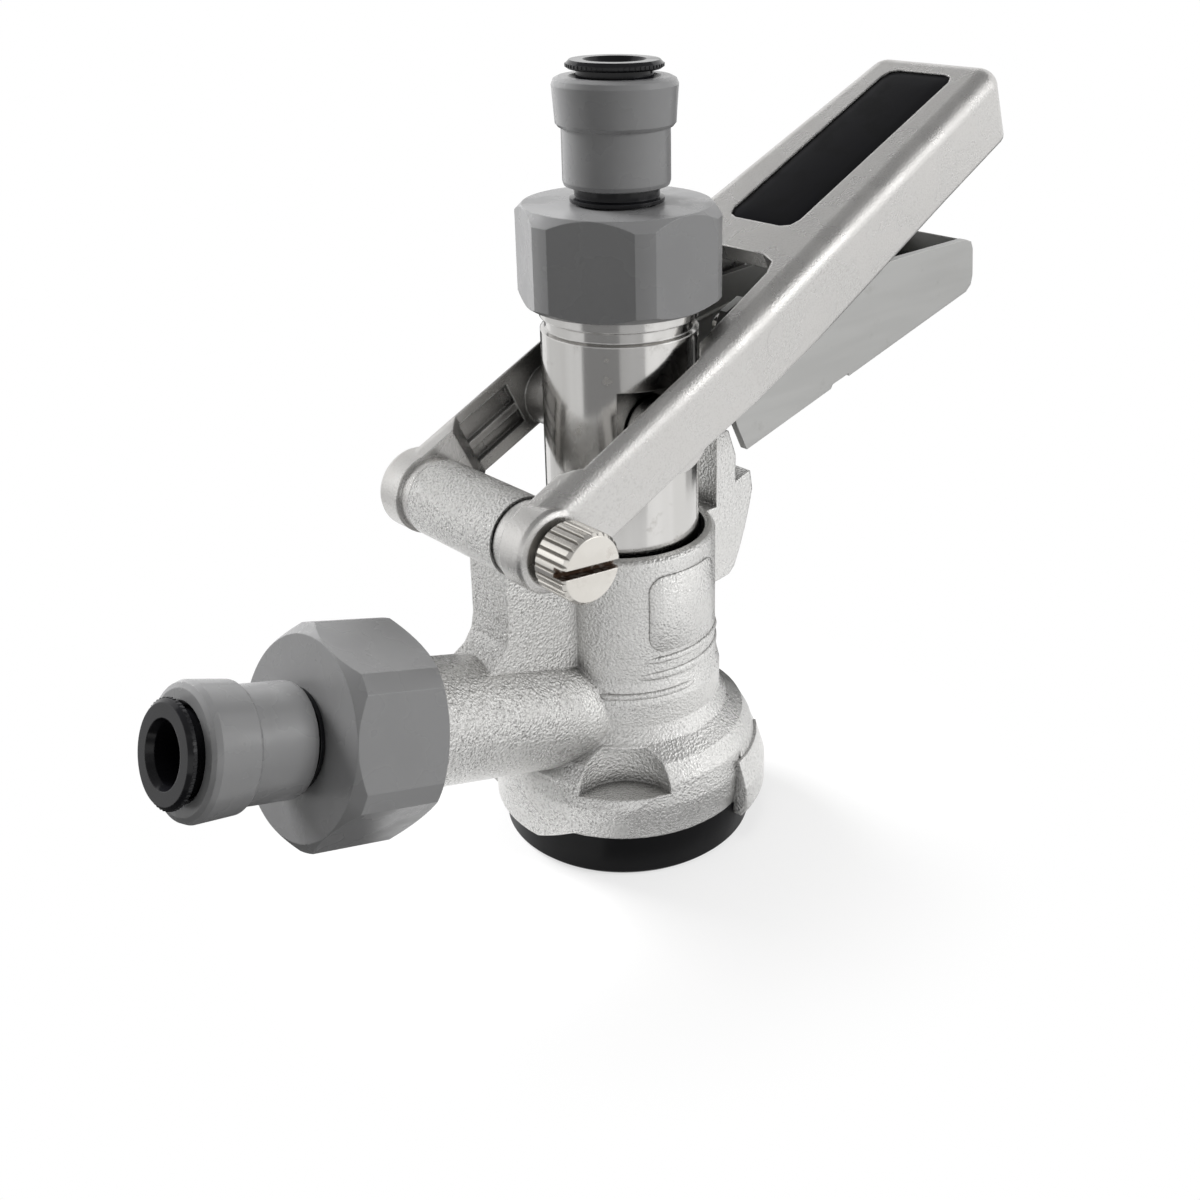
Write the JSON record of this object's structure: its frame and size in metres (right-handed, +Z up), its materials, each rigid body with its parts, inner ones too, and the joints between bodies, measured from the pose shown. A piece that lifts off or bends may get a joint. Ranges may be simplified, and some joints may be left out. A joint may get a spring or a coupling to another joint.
{
  "type": "keg coupler",
  "caption": "Lever-operated keg coupler: sliding steel probe in a cast body with a side gas inlet, a squeeze trigger under the lever and push-in tube fittings.",
  "frame": {"origin": "centre of the underside of the rubber foot, on the probe axis", "axes": "+Z up along the probe, -X towards the gas inlet and the hinge, +X towards the lever, Y along the hinge pin with its knurled head at -Y"},
  "size_m": [0.1611, 0.047, 0.1236],
  "materials": {
    "cast_plated_brass": "nickel plated, rough as cast",
    "black_rubber": "satin",
    "polished_steel": "polished",
    "cast_steel": "satin, fine grain",
    "sheet_steel": "satin",
    "spring_steel": "bright",
    "nickel": "polished",
    "grey_plastic": "satin",
    "black_plastic": "gloss",
    "white_plastic": "satin"
  },
  "bodies": {
    "housing": {"body": "cast_plated_brass", "foot_seal": "black_rubber", "gas_washer": "black_rubber", "gas_fitting": "grey_plastic", "gas_clip": "black_plastic", "gas_grab_ring": "spring_steel", "gas_oring": "black_rubber", "gas_check_valve": "black_rubber"},
    "lever": {"handle": "cast_steel", "handle_insert": "black_plastic", "hinge_pin": "nickel", "pin_clip": "spring_steel", "trigger_pins": "polished_steel"},
    "trigger_part": {"trigger": "sheet_steel", "trigger_spring": "spring_steel"},
    "probe_part": {"probe": "polished_steel", "probe_seal": "black_rubber", "probe_oring_upper": "black_rubber", "probe_oring_lower": "black_rubber", "ball_cage": "white_plastic", "beer_washer": "black_rubber", "beer_fitting": "grey_plastic", "beer_clip": "black_plastic", "beer_grab_ring": "spring_steel", "beer_oring": "black_rubber"},
    "beer_nut_part": {"beer_nut": "grey_plastic"},
    "gas_nut_part": {"gas_nut": "grey_plastic"},
    "beer_collet_part": {"beer_collet": "black_plastic"},
    "gas_collet_part": {"gas_collet": "black_plastic"},
    "ball_part": {"check_ball": "white_plastic"}
  },
  "joints": [
    {"name": "handle_pivot", "type": "hinge", "parent": "housing", "child": "lever", "pos_m": [-0.0274, 0, 0.0614], "axis": [0, 1, 0], "range_deg": [0, 28.5]},
    {"name": "probe_slide", "type": "slide", "parent": "housing", "child": "probe_part", "axis": [0, 0, -1], "range_m": [0, 0.0134]},
    {"name": "trigger_pivot", "type": "hinge", "parent": "lever", "child": "trigger_part", "pos_m": [0.0173, 0, 0.0819], "axis": [0, -1, 0], "range_deg": [0, 12], "stiffness_Nm_per_rad": 0.4, "springref_deg": -20.05},
    {"name": "beer_nut_spin", "type": "hinge", "parent": "probe_part", "child": "beer_nut_part", "pos_m": [0, 0, 0.0958], "axis": [0, 0, 1], "continuous": true},
    {"name": "gas_nut_spin", "type": "hinge", "parent": "housing", "child": "gas_nut_part", "pos_m": [-0.05226, 0, 0.03648], "axis": [-0.9537, 0, 0.3007], "continuous": true},
    {"name": "beer_collet_slide", "type": "slide", "parent": "probe_part", "child": "beer_collet_part", "axis": [0, 0, -1], "range_m": [0, 0.0007]},
    {"name": "gas_collet_slide", "type": "slide", "parent": "housing", "child": "gas_collet_part", "axis": [0.9537, 0, -0.3007], "range_m": [0, 0.0007]},
    {"name": "check_ball_slide", "type": "slide", "parent": "probe_part", "child": "ball_part", "axis": [0, 0, 1], "range_m": [0, 0.0022]}
  ],
  "couplings": [
    {"joint": "probe_slide", "follows": "handle_pivot", "m_per_rad": 0.026839}
  ]
}
